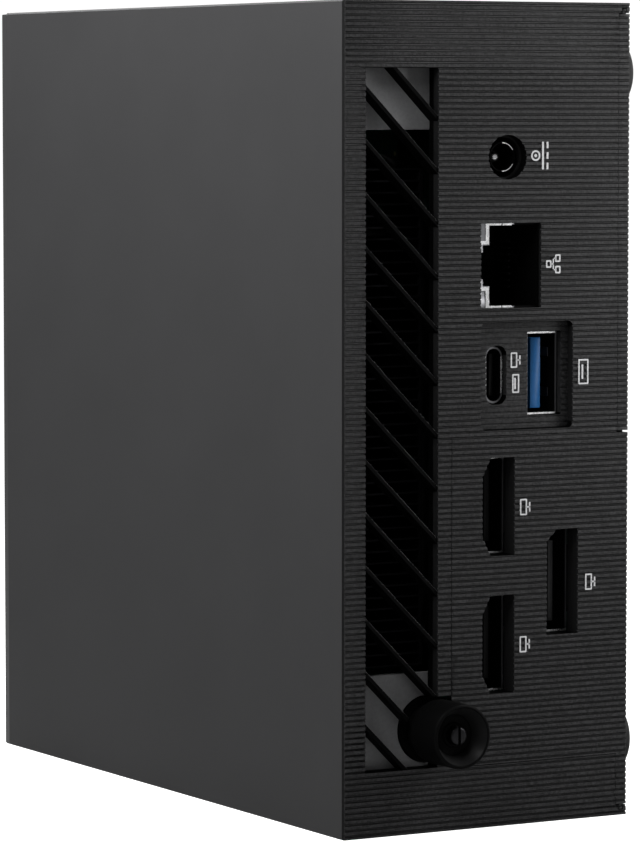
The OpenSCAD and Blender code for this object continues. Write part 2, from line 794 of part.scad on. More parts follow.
module memory_sockets() {
    color([0.06, 0.06, 0.06])
        for (i = [0, 1]) difference() {
            union() {
                span([mem_x[i] - 1.6, mem_y - mem_step * i, mem_z[0]],
                    [board_x[0], mem_y + 5.9 - mem_step * i, mem_z[1]]);
                for (z = [mem_z[0], mem_z[1] - 2])
                    span([mem_x[i] - 1.3, mem_y + 5.9 - mem_step * i, z], [mem_x[i] + 0.4, mem_y + 28, z + 2]);
            }
            span([mem_x[i] - 1, mem_y + 3 - mem_step * i, mem_slot_z[0]],
                [mem_x[i], mem_y + 10 - mem_step * i, mem_slot_z[1]]);
        }
}

module memory_modules() {
    color([0.05, 0.3, 0.15])
        for (i = [0, 1]) {
            span([mem_x[i] - 1, mem_y + 3 - mem_step * i, mem_slot_z[0]],
                [mem_x[i], mem_y + 33 - mem_step * i, mem_slot_z[1]]);
            for (k = [0 : 3])
                span([mem_x[i] - 2, mem_y + 14 - mem_step * i, mem_slot_z[0] + 5 + k * 16.5],
                    [mem_x[i] - 1, mem_y + 26 - mem_step * i, mem_slot_z[0] + 15 + k * 16.5]);
        }
}

module ssd_socket() {
    color([0.06, 0.06, 0.06]) difference() {
        span([-1.9, ssd_y[0], ssd_z[0] - 4], [board_x[0], ssd_y[1], ssd_z[0] + 3]);
        span([-1, ssd_y[0] + 0.9, ssd_z[0]], [-0.2, ssd_y[1] - 0.9, ssd_z[0] + 4]);
    }
}

module ssd_card() {
    color([0.08, 0.1, 0.3]) difference() {
        union() {
            span([-1, ssd_y[0] + 0.9, ssd_z[0]], [-0.2, ssd_y[1] - 0.9, ssd_z[0] + 3]);
            span([-1, ssd_y[0], ssd_z[0] + 3], [-0.2, ssd_y[1], ssd_z[1]]);
            span([-2.2, ssd_y[0] + 3, ssd_z[0] + 10], [-1, ssd_y[1] - 3, ssd_z[0] + 28]);
            span([-2.2, ssd_y[0] + 4, ssd_z[0] + 36], [-1, ssd_y[1] - 4, ssd_z[0] + 50]);
            span([-2.2, ssd_y[0] + 4, ssd_z[0] + 56], [-1, ssd_y[1] - 4, ssd_z[0] + 70]);
        }
        rod_x([-3, (ssd_y[0] + ssd_y[1]) / 2, ssd_z[1]], 1.8, 4);
    }
}

module ssd_screw() {
    y = (ssd_y[0] + ssd_y[1]) / 2;
    color([0.8, 0.8, 0.8]) {
        rod_x([-0.2, y, ssd_z[1]], 2.6, board_x[0] + 0.2);
        rod_x([-1, y, ssd_z[1]], 1.8, 0.8);
        rod_x([-1.8, y, ssd_z[1]], 2.6, 0.8);
    }
}

module wifi_module() {
    color([0.6, 0.6, 0.62]) {
        span([board_x[0] - 0.6, 24.5, 54], [board_x[0], 36.5, 70]);
        span([board_x[0] - 1.9, 25, 54.5], [board_x[0] - 0.6, 36, 66]);
    }
}

module antennas() {
    color([0.75, 0.6, 0.3])
        for (y = [-32, 8])
            span([-14, y, case_w - wall - 0.5], [-6, y + 26, case_w - wall]);
}

module coin_cell() {
    color([0.8, 0.8, 0.8]) rod_x([board_x[0] - 3.2, -22, 115], 10, 3.2);
}

module power_inductors() {
    color([0.3, 0.3, 0.32])
        for (i = [0 : 3])
            span([board_x[1], -16 + 8.5 * i, 8], [board_x[1] + 4, -9 + 8.5 * i, 15]);
}

module capacitors() {
    color([0.5, 0.5, 0.55])
        for (i = [0 : 4]) rod_x([board_x[1], -16 + 7.5 * i, 118], 3, 6.5);
}

module drive_bracket() {
    t = 0.8;
    tab_w = 12;
    color([0.6, 0.6, 0.62]) {
        span([drive_x[1], drive_y[0] - t, drive_z[0]], [drive_x[1] + t, drive_y[1] + t, drive_z[1]]);
        for (y = [drive_y[0] - t, drive_y[1]])
            span([drive_x[0] + 1, y, drive_z[0]], [drive_x[1] + t, y + t, drive_z[1]]);
        for (y = [drive_y[0] + 4, drive_y[1] - 4 - tab_w])
            span([drive_x[1], y, wall], [drive_x[1] + t, y + tab_w, case_w - wall]);
    }
}

module storage_drive() {
    color([0.7, 0.7, 0.71])
        span([drive_x[0], drive_y[0], drive_z[0]], [drive_x[1], drive_y[1], drive_z[1]]);
}

module drive_cable() {
    color([0.15, 0.15, 0.15]) {
        span([drive_x[0] + 1, -12, drive_z[1]], [drive_x[1] - 1, 12, drive_z[1] + 5]);
        span([drive_x[1] - 1, -9, drive_z[1] + 4.6], [0.4, 5, drive_z[1] + 5]);
        span([0.4, -11, drive_z[1] + 2], [board_x[0], 7, drive_z[1] + 6]);
    }
}

top_shell();
front_panel();
usb_port_plate();
vent_grille();
vent_blanks();
bottom_cover();
rubber_feet();
thumbscrew_knob();
thumbscrew_shank();
thumbscrew_washer();
screw_bracket();
power_button();
power_switch();
light_pipe();
dc_jack_body();
dc_jack_pin();
rj45_shield();
rj45_insert();
rear_usb_c_shell();
rear_usb_c_tongue();
rear_usb_a_shell();
rear_usb_a_tongue();
hdmi_shells();
hdmi_tongues();
displayport_shell();
displayport_tongue();
display_board();
front_usb_a_shells();
front_usb_a_tongues();
front_usb_c_shell();
front_usb_c_tongue();
audio_jack();
motherboard();
board_screws();
cpu_package();
thermal_pad();
cold_plate();
heat_pipes();
fin_stack();
fan_housing();
fan_cover();
fan_stator();
fan_shaft();
fan_impeller();
memory_sockets();
memory_modules();
ssd_socket();
ssd_card();
ssd_screw();
wifi_module();
antennas();
coin_cell();
power_inductors();
capacitors();
drive_bracket();
storage_drive();
drive_cable();
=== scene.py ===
"""Looks of a small desktop computer that stands on its side.

Everything is in the row frame: +X is the smooth top cover, -X the feet, +Y the rear face with the ports,
and +Z is up. Meshes are built in millimetres and scaled to metres at the end.
On the rear face, u is the distance from the top cover's outer face, and v the distance down from the
upper side.
"""

import math

import bmesh
import bpy
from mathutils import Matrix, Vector


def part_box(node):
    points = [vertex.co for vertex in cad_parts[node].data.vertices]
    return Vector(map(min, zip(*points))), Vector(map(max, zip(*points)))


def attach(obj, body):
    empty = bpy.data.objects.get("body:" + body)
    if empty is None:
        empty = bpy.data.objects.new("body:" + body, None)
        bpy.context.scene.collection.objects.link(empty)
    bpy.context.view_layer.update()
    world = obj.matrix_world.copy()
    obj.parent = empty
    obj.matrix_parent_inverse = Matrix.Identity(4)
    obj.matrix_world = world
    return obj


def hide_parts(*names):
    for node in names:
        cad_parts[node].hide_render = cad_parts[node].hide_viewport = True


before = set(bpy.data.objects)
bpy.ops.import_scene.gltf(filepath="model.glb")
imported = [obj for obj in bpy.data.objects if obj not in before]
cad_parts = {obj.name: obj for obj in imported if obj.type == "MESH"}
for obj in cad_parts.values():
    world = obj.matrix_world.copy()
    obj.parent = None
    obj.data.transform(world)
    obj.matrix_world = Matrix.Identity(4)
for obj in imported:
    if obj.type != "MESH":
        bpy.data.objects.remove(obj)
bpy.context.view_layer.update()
MM = 0.001
# points closer than this, in metres, are one point
SAME_POINT = 1e-6


# ---------------------------------------------------------------- places

def node_box(node):
    """Lowest and highest corner of a CAD node, in millimetres."""
    lo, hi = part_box(node)
    return lo / MM, hi / MM


SHELL_LO, SHELL_HI = node_box("top_shell")
# outer face of the top cover, rear face, upper side, and face of the recessed insert
HX, BACK, UPPER = SHELL_HI
PLATE_Y = node_box("usb_port_plate")[1].y


def rear(u, v, y=BACK):
    """Point of the rear layout, in millimetres."""
    return (HX - u, y, UPPER - v)


# ---------------------------------------------------------------- mesh tools

def box(bm, lo, hi):
    """A box between two corners, in millimetres."""
    lo, hi = [min(a, b) for a, b in zip(lo, hi)], [max(a, b) for a, b in zip(lo, hi)]
    p = [bm.verts.new((x, y, z)) for x in (lo[0], hi[0]) for y in (lo[1], hi[1]) for z in (lo[2], hi[2])]
    for q in ((0, 1, 3, 2), (4, 6, 7, 5), (0, 4, 5, 1), (2, 3, 7, 6), (0, 2, 6, 4), (1, 5, 7, 3)):
        bm.faces.new([p[i] for i in q])


def loft(bm, rings, caps=True, loop=False):
    """Skin through rings that have the same number of points."""
    rows = [[bm.verts.new(p) for p in ring] for ring in rings]
    pairs = list(zip(rows, rows[1:])) + ([(rows[-1], rows[0])] if loop else [])
    n = len(rings[0])
    for a, b in pairs:
        for i in range(n):
            bm.faces.new((a[i], a[(i + 1) % n], b[(i + 1) % n], b[i]))
    if caps and not loop:
        bm.faces.new(rows[0])
        bm.faces.new(rows[-1][::-1])


def rear_plate(bm, outline, y0, y1):
    """Plate on the rear layout: an outline of (u, v) points from y0 to y1."""
    loft(bm, [[rear(u, v, y) for u, v in outline] for y in (y0, y1)])


def rear_ring(bm, outer, inner, y0, y1):
    """Frame between two outlines that have the same number of points."""
    loft(bm, [[rear(u, v, y) for u, v in line]
              for line, y in ((outer, y0), (outer, y1), (inner, y1), (inner, y0))], loop=True)


def round_rect(centre, w, h, r, steps=6):
    """Outline of a rectangle with round corners, as (u, v) points."""
    points = []
    for k, (sx, sy) in enumerate(((1, 1), (-1, 1), (-1, -1), (1, -1))):
        for i in range(steps + 1):
            a = math.radians(90 * (k + i / steps))
            points.append((centre[0] + sx * (w / 2 - r) + r * math.cos(a),
                           centre[1] + sy * (h / 2 - r) + r * math.sin(a)))
    return points


# millimetres: keeps the points of a lathed tip apart
SMALLEST_RADIUS = 1e-4


def lathe(bm, profile, centre, axis, steps=72, loop=False):
    """Solid of revolution: profile is (radius, distance along axis), in millimetres.

    With loop, the profile closes on itself and the result is a ring.
    """
    axis = Vector(axis).normalized()
    e1 = axis.orthogonal().normalized()
    e2 = axis.cross(e1)
    turns = [2 * math.pi * i / steps for i in range(steps)]
    rings = []
    for r, t in profile:
        middle, radius = Vector(centre) + axis * t, max(r, SMALLEST_RADIUS)
        rings.append([middle + (e1 * math.cos(a) + e2 * math.sin(a)) * radius for a in turns])
    loft(bm, rings, loop=loop)


def link(name, mesh):
    """New object in the scene with a given mesh."""
    obj = bpy.data.objects.new(name, mesh)
    bpy.context.scene.collection.objects.link(obj)
    return obj


def solid(name, bm):
    """Mesh object, in metres, from a bmesh in millimetres."""
    bmesh.ops.recalc_face_normals(bm, faces=bm.faces)
    bmesh.ops.scale(bm, vec=(MM, MM, MM), verts=bm.verts)
    mesh = bpy.data.meshes.new(name)
    bm.to_mesh(mesh)
    bm.free()
    return link(name, mesh)


def round_edges(obj, width, segments=2, angle=35):
    """Bevels every edge of an object that is sharper than an angle, in degrees."""
    obj.data.shade_smooth()
    m = obj.modifiers.new("round_edges", "BEVEL")
    m.width = width * MM
    m.segments = segments
    m.limit_method = "ANGLE"
    m.angle_limit = math.radians(angle)
    m.use_clamp_overlap = True
    m.harden_normals = True
    return obj


def bake(obj):
    """Replaces an object's mesh with the result of its modifiers."""
    dg = bpy.context.evaluated_depsgraph_get()
    mesh = bpy.data.meshes.new_from_object(obj.evaluated_get(dg))
    obj.modifiers.clear()
    obj.data = mesh
    return obj


def carve(obj, cutter):
    """Cuts the cutter's shape out of the object, and removes the cutter."""
    m = obj.modifiers.new("carve", "BOOLEAN")
    m.operation = "DIFFERENCE"
    m.solver = "MANIFOLD"
    m.object = cutter
    bake(obj)
    bpy.data.objects.remove(cutter)
    return obj


def cad_copy(node, name):
    """New object with a CAD node's shape, with its flat faces made whole again."""
    obj = link(name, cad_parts[node].data.copy())
    obj.data.materials.clear()
    bm = bmesh.new()
    bm.from_mesh(obj.data)
    bmesh.ops.remove_doubles(bm, verts=bm.verts, dist=SAME_POINT)
    bmesh.ops.dissolve_limit(bm, angle_limit=math.radians(1), verts=bm.verts, edges=bm.edges)
    bm.to_mesh(obj.data)
    bm.free()
    return obj


def smooth(obj, angle=32):
    """Smooth shading that keeps hard edges, with large faces kept flat."""
    obj.data.shade_smooth()
    obj.data.set_sharp_from_angle(angle=math.radians(angle))
    m = obj.modifiers.new("even_normals", "WEIGHTED_NORMAL")
    m.keep_sharp = True
    return obj


def piece(obj, body, paints, replaces=()):
    """Gives an object its paint and body, and the CAD nodes that it stands for."""
    obj.data.materials.clear()
    for p in paints if isinstance(paints, (list, tuple)) else [paints]:
        obj.data.materials.append(p)
    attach(obj, body)
    if replaces:
        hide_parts(*replaces)
    return obj


# ---------------------------------------------------------------- materials

class Paint:
    """Node material built round one Principled shader."""

    def __init__(self, name, roughness, specular=0.5, metallic=0.0):
        self.mat = bpy.data.materials.new(name)
        self.mat.use_nodes = True
        self.nodes, self.links = self.mat.node_tree.nodes, self.mat.node_tree.links
        self.bsdf = self.nodes["Principled BSDF"]
        self.bsdf.inputs["Roughness"].default_value = roughness
        self.bsdf.inputs["Specular IOR Level"].default_value = specular
        self.bsdf.inputs["Metallic"].default_value = metallic
        self.coords = self.add("ShaderNodeTexCoord").outputs["Object"]

    def add(self, kind, **settings):
        """New node of a kind, with its settings."""
        n = self.nodes.new(kind)
        for k, v in settings.items():
            setattr(n, k, v)
        return n

    def noise(self, scale, detail=2.0, stretch=(1, 1, 1)):
        """Noise in the range 0 to 1; scale is in features per metre."""
        m = self.add("ShaderNodeMapping")
        m.inputs["Scale"].default_value = stretch
        n = self.add("ShaderNodeTexNoise")
        n.inputs["Scale"].default_value = scale
        n.inputs["Detail"].default_value = detail
        n.inputs["Roughness"].default_value = 0.6
        self.links.new(self.coords, m.inputs["Vector"])
        self.links.new(m.outputs["Vector"], n.inputs["Vector"])
        return n.outputs["Fac"]

    def ramp(self, value, stops):
        """Colours along a value: stops are (position, (r, g, b))."""
        r = self.add("ShaderNodeValToRGB")
        while len(r.color_ramp.elements) < len(stops):
            r.color_ramp.elements.new(0.5)
        for e, (at, c) in zip(r.color_ramp.elements, stops):
            e.position = at
            e.color = (*c, 1)
        self.links.new(value, r.inputs["Fac"])
        return r.outputs["Color"]

    def colour(self, value):
        """Drives the base colour by a node's output."""
        self.links.new(value, self.bsdf.inputs["Base Color"])
        return self

    def rough(self, value, low, high):
        """Drives the roughness by a value from 0 to 1."""
        m = self.add("ShaderNodeMapRange")
        m.inputs["To Min"].default_value = low
        m.inputs["To Max"].default_value = high
        self.links.new(value, m.inputs["Value"])
        self.links.new(m.outputs["Result"], self.bsdf.inputs["Roughness"])
        return self

    def bump(self, value, depth, strength=1.0):
        """Bump of a depth in millimetres."""
        b = self.add("ShaderNodeBump")
        b.inputs["Distance"].default_value = depth * MM
        b.inputs["Strength"].default_value = strength
        self.links.new(value, b.inputs["Height"])
        self.links.new(b.outputs["Normal"], self.bsdf.inputs["Normal"])
        return self


def shade(c, k):
    """A colour times a factor, not over white."""
    return tuple(min(1.0, x * k) for x in c)


# scale of the wide unevenness of a plastic and of a metal, in features per metre
MOTTLE_SCALE = 45
TARNISH_SCALE = 120
# scale of the traces and of the vias of a circuit board
TRACE_SCALE = 260
VIA_SCALE = 330


def plastic(name, colour, rough=0.5, specular=0.4, grain=1800, depth=0.012, mottle=0.1, speckle=0.15):
    """Moulded plastic: large soft mottle, fine grain in colour, roughness and bump."""
    p = Paint(name, rough, specular)
    wide, fine = p.noise(MOTTLE_SCALE, 4), p.noise(grain, 3)
    base = p.ramp(wide, [(0.3, shade(colour, 1 - mottle)), (0.7, shade(colour, 1 + mottle))])
    dots = p.ramp(fine, [(0.35, shade((1, 1, 1), 1 - speckle)), (0.65, (1, 1, 1))])
    m = p.add("ShaderNodeMixRGB", blend_type="MULTIPLY")
    m.inputs["Fac"].default_value = 1.0
    p.links.new(base, m.inputs["Color1"])
    p.links.new(dots, m.inputs["Color2"])
    return p.colour(m.outputs["Color"]).rough(fine, rough - 0.08, rough + 0.1).bump(fine, depth).mat


def metal(name, colour, rough=0.3, stretch=(1, 1, 1), grain=900, depth=0.004):
    """Sheet metal with fine scratches and a slightly uneven tone."""
    p = Paint(name, rough, 0.5, 1.0)
    wide, fine = p.noise(TARNISH_SCALE, 3), p.noise(grain, 3, stretch)
    p.colour(p.ramp(wide, [(0.3, shade(colour, 0.86)), (0.7, colour)]))
    return p.rough(fine, rough - 0.08, rough + 0.14).bump(fine, depth).mat


def circuit(name, mask, trace):
    """Solder mask with traces and pads that show through as a lighter tone."""
    p = Paint(name, 0.35, 0.5)
    b = p.add("ShaderNodeTexBrick")
    b.inputs["Scale"].default_value = TRACE_SCALE
    b.inputs["Mortar Size"].default_value = 0.07
    b.inputs["Color1"].default_value = (*mask, 1)
    b.inputs["Color2"].default_value = (*shade(mask, 1.25), 1)
    b.inputs["Mortar"].default_value = (*trace, 1)
    turn = p.add("ShaderNodeMapping")
    turn.inputs["Rotation"].default_value = (0, math.radians(90), 0)
    p.links.new(p.coords, turn.inputs["Vector"])
    p.links.new(turn.outputs["Vector"], b.inputs["Vector"])
    vias = p.add("ShaderNodeTexVoronoi")
    vias.inputs["Scale"].default_value = VIA_SCALE
    p.links.new(p.coords, vias.inputs["Vector"])
    dots = p.ramp(vias.outputs["Distance"], [(0.1, (0.55, 0.42, 0.18)), (0.16, (0, 0, 0))])
    m = p.add("ShaderNodeMixRGB", blend_type="ADD")
    m.inputs["Fac"].default_value = 1.0
    p.links.new(b.outputs["Color"], m.inputs["Color1"])
    p.links.new(dots, m.inputs["Color2"])
    p.colour(m.outputs["Color"]).rough(p.noise(400), 0.28, 0.42)
    return p.bump(b.outputs["Fac"], 0.03, 0.5).mat


GREY = (1.0, 1.0, 1.03)
# name, colour, roughness, specular level, grain scale, grain depth in mm, mottle and speckle
CASE = plastic("case_matt", shade(GREY, 0.024), 0.6, 0.08, 2600, 0.006, 0.05, 0.1)
RIBBED = plastic("case_ribs", shade(GREY, 0.025), 0.5, 0.1, 2900, 0.05, 0.08, 0.75)
COVER = plastic("cover_matt", shade(GREY, 0.016), 0.52, 0.35, 2400, 0.01, 0.06, 0.15)
FRONT = plastic("front_satin", shade(GREY, 0.014), 0.4, 0.4, 2600, 0.006, 0.06, 0.1)
# painted shade: the grooves between the ribs are a darker copy of the rib plastic
RIB_GROOVE_SHADE = plastic("case_groove_painted_shade", shade(GREY, 0.009), 0.6, 0.05, 2900, 0.02, 0.08, 0.4)
# painted shade: every opening, recess wall and inside face is painted near black
OPENING_SHADE = plastic("opening_painted_shade_black", shade(GREY, 0.0014), 0.6, 0.015, 1800, 0.01, 0.1, 0.2)
INSERT = plastic("insert_matt", shade(GREY, 0.022), 0.5, 0.08, 2600, 0.03, 0.08, 0.7)
# painted shade: the vent blades are painted near black, standing for faces in shade
GRILLE_SHADE = plastic("grille_painted_shade_black", shade(GREY, 0.0012), 0.55, 0.015, 2200, 0.006, 0.1, 0.1)
# painted highlight: the blades' upward bevel is painted light
BLADE_HIGHLIGHT = plastic("blade_edge_painted_highlight", shade(GREY, 0.13), 0.4, 0.3, 2200, 0.004, 0.1, 0.3)
BLANK = plastic("blank_grey", shade(GREY, 0.095), 0.5, 0.35, 2000, 0.008, 0.06, 0.15)
RUBBER = plastic("foot_rubber_black", shade(GREY, 0.006), 0.7, 0.2, 1500, 0.03, 0.15, 0.3)
KNOB = plastic("knob_black", shade(GREY, 0.0016), 0.5, 0.02, 1800, 0.008, 0.1, 0.15)
# painted highlight: the inward wall of the grip's dish is painted lighter than the black grip
KNOB_DISH_HIGHLIGHT = plastic("knob_dish_painted_highlight", shade(GREY, 0.005), 0.4, 0.12, 1800, 0.006, 0.08, 0.12)
BUTTON = plastic("button_satin", shade(GREY, 0.02), 0.35, 0.45, 2200, 0.005, 0.05, 0.1)
SOCKET = plastic("socket_black", shade(GREY, 0.003), 0.5, 0.08, 1500, 0.01, 0.12, 0.2)
TONGUE = plastic("tongue_grey", shade(GREY, 0.022), 0.45, 0.2, 1500, 0.01, 0.1, 0.15)
BLUE = plastic("tongue_blue", (0.008, 0.068, 0.19), 0.42, 0.15, 1500, 0.01, 0.12, 0.12)
CHIP = plastic("chip_epoxy", shade(GREY, 0.012), 0.5, 0.4, 1700, 0.01, 0.1, 0.3)
WHITE_INK = plastic("print_white", (0.42, 0.42, 0.43), 0.6, 0.3, 2400, 0.01, 0.05, 0.2)
FAN = plastic("fan_black", shade(GREY, 0.008), 0.4, 0.4, 1500, 0.008, 0.1, 0.15)
CABLE = plastic("cable_black", shade(GREY, 0.012), 0.5, 0.35, 1200, 0.02, 0.15, 0.2)
PASTE = plastic("thermal_grey", (0.4, 0.4, 0.41), 0.7, 0.2, 900, 0.05, 0.15, 0.2)
FERRITE = plastic("ferrite_grey", (0.05, 0.05, 0.055), 0.55, 0.4, 1400, 0.03, 0.15, 0.4)
# name, colour, roughness, stretch of the scratches
TIN = metal("tin_plate", (0.78, 0.78, 0.79), 0.24)
# painted shade: tin darkened on the socket rims and springs; bright tin on the rims is a painted glint
PAINTED_SHADE_TIN = metal("tin_painted_shade", (0.1, 0.1, 0.105), 0.4)
STEEL = metal("screw_steel_grey", (0.45, 0.45, 0.46), 0.3)
BLACK_STEEL = metal("screw_steel_black", (0.016, 0.016, 0.017), 0.35)
GOLD = metal("contact_gold", (0.83, 0.6, 0.28), 0.25)
COPPER = metal("bare_copper", (0.8, 0.42, 0.26), 0.3)
# painted shade: the fins, seen through the vents, are darkened to near black
SHADED_FINS = metal("fins_painted_shade_black", (0.004, 0.004, 0.0044), 0.6, (1, 1, 20))
# painted shade: the heat pipes, seen through the vents, are darkened to near black
SHADED_PIPES = metal("pipes_painted_shade_black", (0.02, 0.02, 0.021), 0.42)
DRIVE = metal("drive_aluminium", (0.6, 0.6, 0.62), 0.38, (20, 1, 1))
CAN = metal("capacitor_foil", (0.6, 0.6, 0.63), 0.3)
BOARD = circuit("board_mask", (0.006, 0.03, 0.022), (0.02, 0.075, 0.055))
CARD = circuit("card_mask", (0.006, 0.012, 0.03), (0.02, 0.035, 0.08))


def light_guide():
    """Clear plastic of the light pipe in the front."""
    p = Paint("light_guide_clear", 0.15, 0.5)
    p.bsdf.inputs["Transmission Weight"].default_value = 0.6
    return p.colour(p.ramp(p.noise(300), [(0.3, (0.75, 0.8, 0.85)), (0.7, (0.9, 0.93, 0.97))])).mat


GUIDE = light_guide()


# ---------------------------------------------------------------- ribbed rear face

RIB_PITCH = 0.9016
# height of the first groove under the upper side, in pitches
RIB_PHASE = 0.62
RIB_FROM_U = 0.45
RIB_DEPTH = 0.23
INSERT_RIB_DEPTH = 0.12
# profile of a groove, as (half width, depth)
GROOVE = [(0.21, 0.0), (0.165, 0.035), (0.135, 0.09), (0.12, 0.17), (0.07, 0.23)]
# how far a groove cutter stands out of the face
PROUD = 0.3
# u where the grooves end, past the feet side, and where those of the cover and the insert begin
PAST_FEET_SIDE = 60
INNER_FROM_U = 10
INSERT_FROM_V, INSERT_TO_V = 40, 80
# a face whose centre is this near to an outer side belongs to that side
SKIN = 0.5
# thickness of the cover's rear tongue, with some room
TONGUE_DEPTH = 4.0
# how far below the floor of the grooves a face centre still belongs to the ribs
UNDER_RIBS = 0.02
UNDER_INSERT_RIBS = 0.1


def comb(face_y, depth, u0, v0=0.0, v1=130.0):
    """Cutter for the grooves between the ribs of a face at face_y, from u0 on and from v0 to v1."""
    bm = bmesh.new()
    x0, x1 = HX - PAST_FEET_SIDE, HX - u0
    k = depth / GROOVE[-1][1]
    half = [(GROOVE[0][0], PROUD)] + [(w, -d * k) for w, d in GROOVE]
    for i in range(int((SHELL_HI.z - SHELL_LO.z) / RIB_PITCH) + 1):
        z = UPPER - (i + RIB_PHASE) * RIB_PITCH
        if not v0 < UPPER - z < v1:
            continue
        ring = [(z + w, face_y + y) for w, y in half]
        ring += [(z - w, face_y + y) for w, y in reversed(half)]
        loft(bm, [[(x, y, zz) for zz, y in ring] for x in (x0, x1)])
    return solid("comb", bm)


def paint_by(obj, rule):
    """Gives each face the paint number that rule says for its centre, in millimetres, and its normal."""
    for f in obj.data.polygons:
        f.material_index = rule(f.center / MM, f.normal)


def ribbed_wall(c, n):
    """Paint 0 outside, 1 on the ribs, 2, a darker painted shade, in the grooves between them, 3, a painted
    black shade, in every opening and inside.
    """
    if c.y > BACK - RIB_DEPTH - UNDER_RIBS:
        return 1 if n.y > 0.8 else 2
    depths = (HX - c.x, c.y - SHELL_LO.y, c.z - SHELL_LO.z, UPPER - c.z, c.x - SHELL_LO.x)
    return 0 if min(depths) < SKIN else 3


def cover_wall(c, n):
    """Like ribbed_wall at the cover's tongue; the rest of the cover has one paint on both sides."""
    return ribbed_wall(c, n) if c.y > BACK - TONGUE_DEPTH else 0


def insert_wall(c, n):
    """Paint 0 on the ribbed face of the insert, 1, a painted black shade, behind it."""
    return 0 if c.y > PLATE_Y - INSERT_RIB_DEPTH - UNDER_INSERT_RIBS else 1


def blade_wall(c, n):
    """Paint 1, a lighter painted highlight, on the bevel that looks up, to the rear and away from the top
    cover.
    """
    return 1 if 0.3 < n.y < 0.95 and n.z > 0.2 and n.x < -0.1 else 0


def moulding(node, name, body, paints, edge, segments=2, ribs=None, rule=None):
    """Copy of a CAD node with rounded edges, and where given grooves and a rule for its paints."""
    obj = round_edges(cad_copy(node, name), edge, segments)
    bake(obj)
    if ribs:
        carve(obj, comb(*ribs))
    smooth(obj)
    piece(obj, body, paints, [node])
    if rule:
        paint_by(obj, rule)


moulding("top_shell", "shell", "case", [CASE, RIBBED, RIB_GROOVE_SHADE, OPENING_SHADE], 0.12,
         ribs=(BACK, RIB_DEPTH, RIB_FROM_U), rule=ribbed_wall)
moulding("bottom_cover", "sliding_cover", "cover", [COVER, RIBBED, RIB_GROOVE_SHADE, OPENING_SHADE], 0.16,
         ribs=(BACK, RIB_DEPTH, INNER_FROM_U), rule=cover_wall)
moulding("usb_port_plate", "port_insert", "case", [INSERT, OPENING_SHADE], 0.1,
         ribs=(PLATE_Y, INSERT_RIB_DEPTH, INNER_FROM_U, INSERT_FROM_V, INSERT_TO_V), rule=insert_wall)
moulding("front_panel", "front", "case", [FRONT], 0.15)
moulding("vent_grille", "vent_blades", "case", [GRILLE_SHADE, BLADE_HIGHLIGHT], 0.17, 1,
         rule=blade_wall)
moulding("vent_blanks", "vent_blank_plates", "case", [BLANK], 0.12)


# ---------------------------------------------------------------- CAD nodes kept, with their own paint

# node: its paint, and the width of its bevels in millimetres
KEPT = {
    "thumbscrew_washer": (BLACK_STEEL, 0.1), "screw_bracket": (BLACK_STEEL, 0.2),
    "power_button": (BUTTON, 0.2), "power_switch": (SOCKET, 0.15), "light_pipe": (GUIDE, 0.1),
    "dc_jack_body": (SOCKET, 0.15), "dc_jack_pin": (TIN, 0), "rj45_insert": (SOCKET, 0.05),
    "rear_usb_c_tongue": (SOCKET, 0.05), "rear_usb_a_tongue": (BLUE, 0.1),
    "hdmi_tongues": (SOCKET, 0.05), "displayport_tongue": (TONGUE, 0.05), "display_board": (BOARD, 0.05),
    "front_usb_a_tongues": (BLUE, 0.1), "front_usb_c_tongue": (SOCKET, 0.05),
    "audio_jack": (SOCKET, 0.15), "motherboard": (BOARD, 0.1), "board_screws": (STEEL, 0.2),
    "cpu_package": (CHIP, 0.1), "thermal_pad": (PASTE, 0.03), "cold_plate": (COPPER, 0.2),
    "heat_pipes": (SHADED_PIPES, 0.6), "fin_stack": (SHADED_FINS, 0.03),
    "fan_housing": (FAN, 0.2), "fan_cover": (FAN, 0.15), "fan_stator": (COPPER, 0.2),
    "fan_shaft": (STEEL, 0.15), "fan_impeller": (FAN, 0.1),
    "memory_sockets": (SOCKET, 0.15), "memory_modules": (CARD, 0.1), "ssd_socket": (SOCKET, 0.15),
    "ssd_card": (CARD, 0.1), "ssd_screw": (STEEL, 0.2), "wifi_module": (TIN, 0.15),
    "antennas": (GOLD, 0.05), "coin_cell": (TIN, 0.4), "power_inductors": (FERRITE, 0.4),
    "capacitors": (CAN, 0.4), "drive_bracket": (STEEL, 0.15), "storage_drive": (DRIVE, 0.5),
    "drive_cable": (CABLE, 0.15),
}
for node, (paint, width) in KEPT.items():
    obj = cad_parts[node]
    obj.data.materials.clear()
    obj.data.materials.append(paint)
    if width:
        weld = obj.modifiers.new("weld", "WELD")
        weld.merge_threshold = SAME_POINT
        round_edges(obj, width)


# ---------------------------------------------------------------- sockets

# how far behind its mouth a shell's face still counts as rim, in millimetres
RIM_REACH = 0.6


